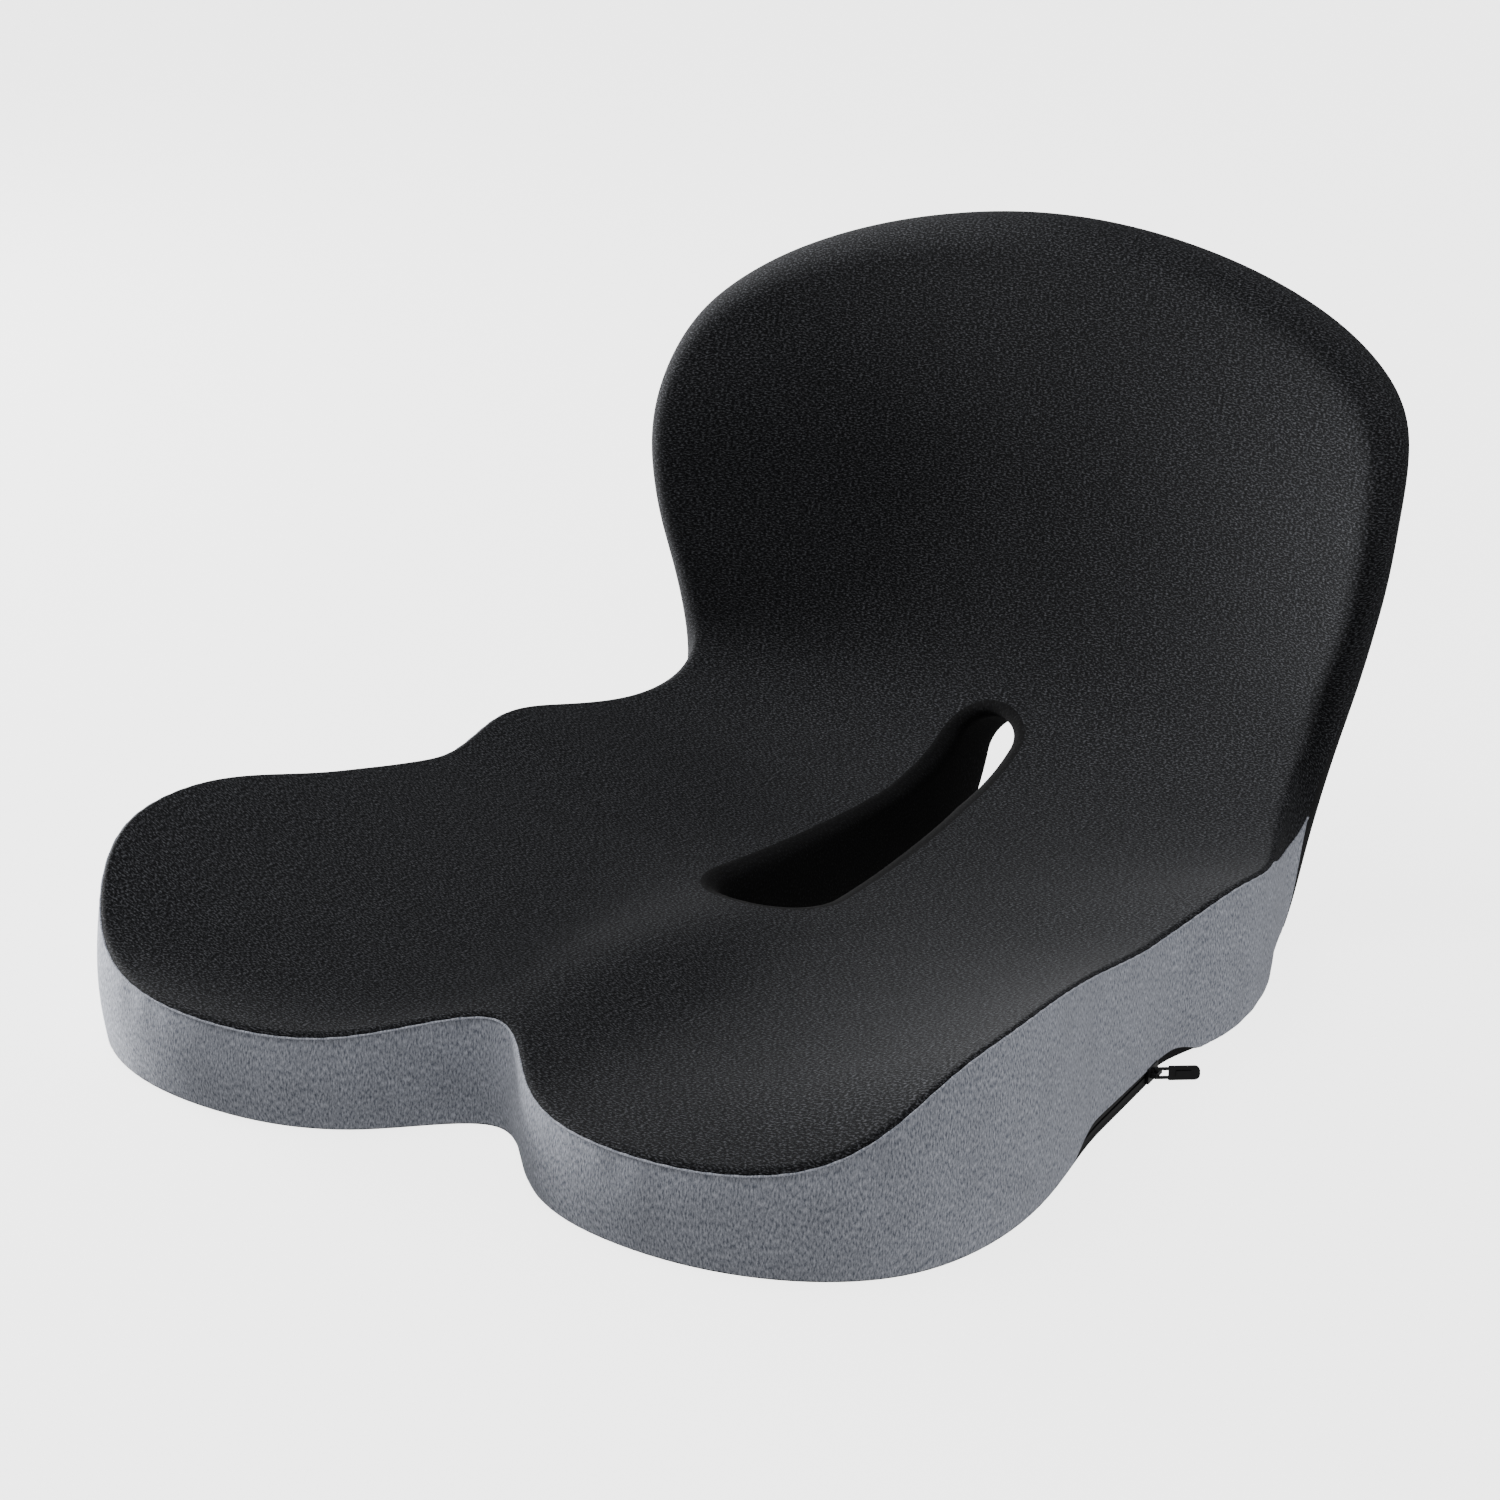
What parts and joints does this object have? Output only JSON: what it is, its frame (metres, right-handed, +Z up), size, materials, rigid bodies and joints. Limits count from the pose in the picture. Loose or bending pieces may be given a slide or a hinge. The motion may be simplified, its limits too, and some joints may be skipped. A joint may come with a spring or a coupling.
{
  "type": "seat cushion",
  "caption": "Contoured seat cushion with a wrap-around back rest, twin thigh channels, a tapered coccyx slot and a zipped two-tone fabric cover.",
  "frame": {"origin": "under the middle of the cushion, on the surface that it lies on", "axes": "+Z up, -Y towards the front edge of the seat, +Y towards the back rest, +X towards the side with the zip slider"},
  "size_m": [0.4486, 0.5266, 0.3094],
  "materials": {
    "foam": "matt moulded memory foam",
    "liner_knit": "thin matt knit",
    "dark_knit": "matt melange knit",
    "heather_knit": "matt heathered knit",
    "base_cloth": "matt woven cloth",
    "silicone": "satin silicone",
    "zip_tape": "matt woven tape",
    "zip_coil": "satin nylon",
    "zip_metal": "satin black enamel"
  },
  "bodies": {
    "cushion": {"seat_foam": "foam", "back_foam": "foam", "inner_liner": "liner_knit", "top_panel": "dark_knit", "slot_lining": "dark_knit", "gusset_left": "heather_knit", "gusset_right": "heather_knit", "bottom_panel": "base_cloth", "back_panel": "base_cloth", "grip_dots": "silicone", "zipper_tape_upper": "zip_tape", "zipper_tape_lower": "zip_tape", "zipper_coil_upper": "zip_coil", "zipper_coil_lower": "zip_coil", "zipper_top_stop": "zip_metal", "zipper_bottom_stop": "zip_metal"},
    "slider": {"zipper_slider": "zip_metal"},
    "pull": {"zipper_pull": "zip_metal"}
  },
  "joints": [
    {"name": "zip_slide", "type": "slide", "parent": "cushion", "child": "slider", "axis": [-0.1303, 0.9915, 0], "range_m": [-0.04, 0]},
    {"name": "pull_swing", "type": "hinge", "parent": "slider", "child": "pull", "pos_m": [0.20391, -0.01453, 0.005], "axis": [0, 0, 1], "range_deg": [-108, 48]}
  ]
}
